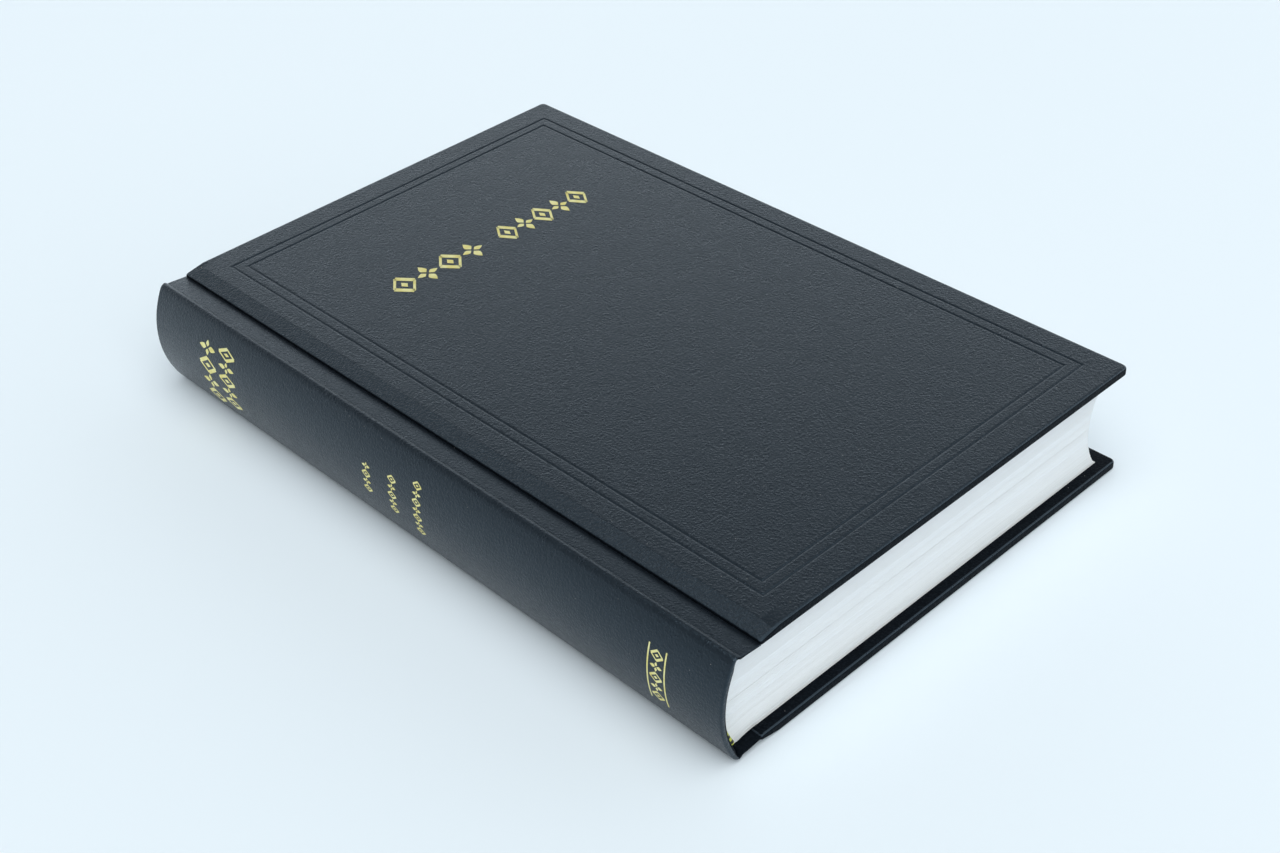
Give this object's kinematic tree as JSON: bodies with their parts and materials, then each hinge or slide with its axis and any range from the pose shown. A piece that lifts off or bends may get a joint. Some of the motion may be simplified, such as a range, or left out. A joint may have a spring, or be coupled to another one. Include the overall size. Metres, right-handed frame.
{
  "type": "case-bound bible",
  "caption": "Black case-bound bible with a rounded spine, pressed joints and a double frame on its front cover; it opens at both covers and at its middle.",
  "frame": {"origin": "centre of the closed book's footprint, on the surface that the back cover rests on", "axes": "+X from the spine to the fore-edge, +Y from tail to head, +Z from the back cover to the front cover"},
  "size_m": [0.1455, 0.216, 0.032],
  "materials": {
    "covering": "fine-grained black imitation leather, semi-gloss",
    "board": "grey-brown pasteboard",
    "inlay_card": "smooth card",
    "lining_paper": "brown lining paper",
    "mull": "open stiffened gauze",
    "thread": "waxed sewing thread",
    "end_band": "striped woven band",
    "endpaper": "plain matte paper",
    "text_paper": "thin pale printing paper",
    "foil": "pale gold stamping foil"
  },
  "bodies": {
    "back_cover": {"back_board": "board", "back_cover_cloth": "covering", "back_mull_wing": "mull", "back_pastedown": "endpaper"},
    "rear_block": {"signature_01": "text_paper", "signature_02": "text_paper", "signature_03": "text_paper", "signature_04": "text_paper", "signature_05": "text_paper", "signature_06": "text_paper", "signature_07": "text_paper", "signature_08": "text_paper", "signature_09": "text_paper", "signature_10": "text_paper", "signature_11": "text_paper", "signature_12": "text_paper", "spine_cloth_rear": "covering", "spine_inlay_rear": "inlay_card", "spine_lining_rear": "lining_paper", "mull_rear": "mull", "sewing_thread_rear": "thread", "head_band_rear": "end_band", "tail_band_rear": "end_band"},
    "front_block": {"signature_13": "text_paper", "signature_14": "text_paper", "signature_15": "text_paper", "signature_16": "text_paper", "signature_17": "text_paper", "signature_18": "text_paper", "signature_19": "text_paper", "signature_20": "text_paper", "signature_21": "text_paper", "signature_22": "text_paper", "signature_23": "text_paper", "signature_24": "text_paper", "spine_cloth_front": "covering", "spine_inlay_front": "inlay_card", "spine_lining_front": "lining_paper", "mull_front": "mull", "sewing_thread_front": "thread", "head_band_front": "end_band", "tail_band_front": "end_band"},
    "front_cover": {"front_board": "board", "front_cover_cloth": "covering", "front_mull_wing": "mull", "front_pastedown": "endpaper"},
    "front_flyleaf": {"front_flyleaf": "endpaper"},
    "back_flyleaf": {"back_flyleaf": "endpaper"},
    "middle_leaf": {"middle_leaf": "text_paper"}
  },
  "joints": [
    {"name": "back_hinge", "type": "hinge", "parent": "back_cover", "child": "rear_block", "pos_m": [-0.06792, 0, 0.0003], "axis": [0, -1, 0], "range_deg": [0, 60]},
    {"name": "book_opening", "type": "hinge", "parent": "rear_block", "child": "front_block", "pos_m": [-0.0729, 0, 0.016], "axis": [0, 1, 0], "range_deg": [-178, 0]},
    {"name": "front_hinge", "type": "hinge", "parent": "front_block", "child": "front_cover", "pos_m": [-0.06792, 0, 0.0317], "axis": [0, -1, 0], "range_deg": [0, 120]},
    {"name": "front_flyleaf_turn", "type": "hinge", "parent": "front_block", "child": "front_flyleaf", "pos_m": [-0.05847, 0, 0.02885], "axis": [0, -1, 0], "range_deg": [0, 60]},
    {"name": "back_flyleaf_turn", "type": "hinge", "parent": "rear_block", "child": "back_flyleaf", "pos_m": [-0.05847, 0, 0.00315], "axis": [0, 1, 0], "range_deg": [0, 30]},
    {"name": "middle_leaf_turn", "type": "hinge", "parent": "rear_block", "child": "middle_leaf", "pos_m": [-0.06985, 0, 0.016], "axis": [0, 1, 0], "range_deg": [-89, 0]}
  ],
  "couplings": [
    {"joint": "front_flyleaf_turn", "follows": "front_hinge", "ratio": 0.5},
    {"joint": "back_flyleaf_turn", "follows": "back_hinge", "ratio": 0.5},
    {"joint": "middle_leaf_turn", "follows": "book_opening", "ratio": 0.5}
  ]
}
